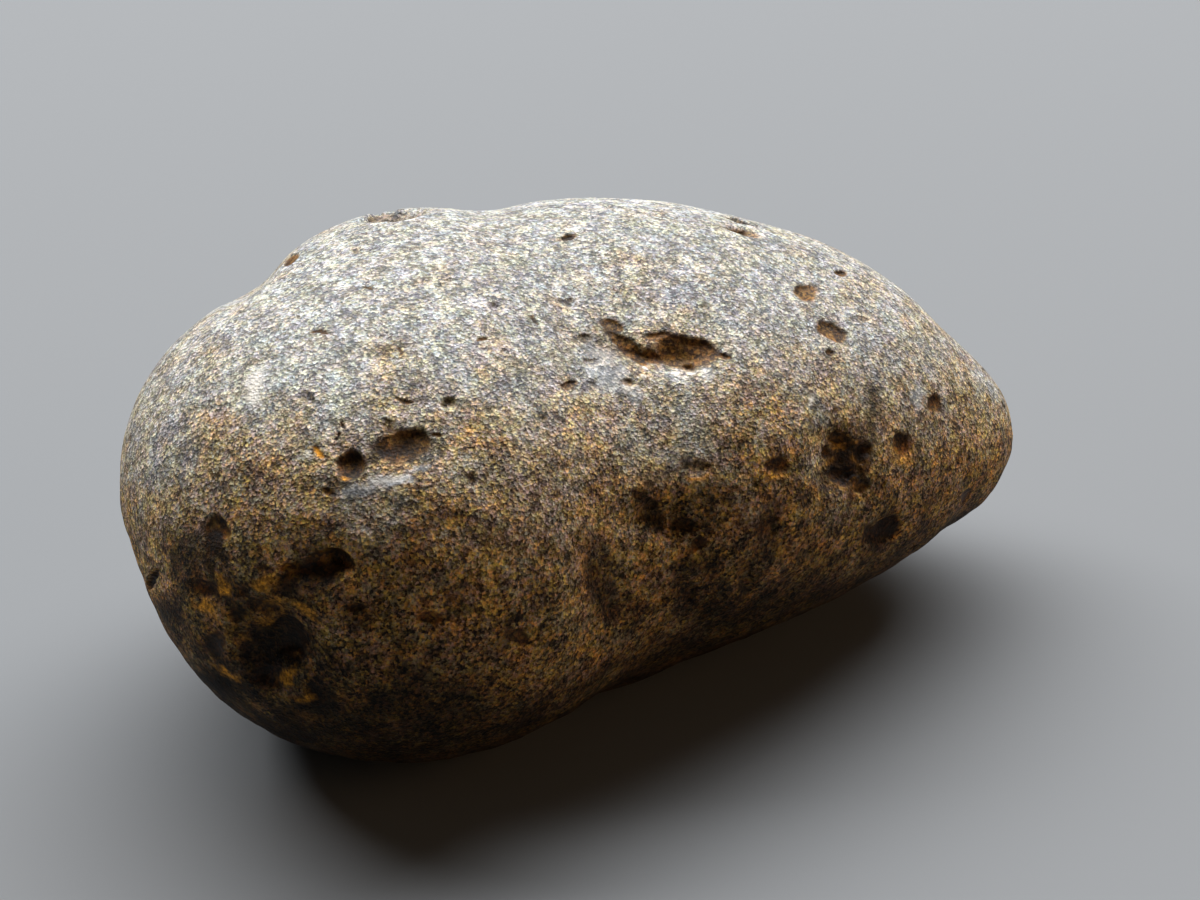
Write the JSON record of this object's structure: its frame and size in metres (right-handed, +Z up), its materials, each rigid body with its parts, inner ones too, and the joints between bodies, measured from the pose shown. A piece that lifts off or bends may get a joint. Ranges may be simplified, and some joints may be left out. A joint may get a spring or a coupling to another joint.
{
  "type": "tektite",
  "caption": "Stream-worn tektite: a blunt pear-shaped pebble of frosted natural impact glass, with smooth gas pits, lying on a worn flat.",
  "frame": {"origin": "on the resting plane, under the middle of the stone's bounding box", "axes": "+X along the stone from the blunt heel to the narrow nose, +Y across it away from the front, +Z up from the worn flat"},
  "size_m": [0.0392, 0.0248, 0.0186],
  "materials": {
    "frosted_glass": "stream-frosted natural glass: matt grey-brown skin with fine light, dark and amber grain, and smooth glossy dark brown glass in the pits"
  },
  "bodies": {
    "root": {"tektite_stone": "frosted_glass"}
  },
  "joints": []
}
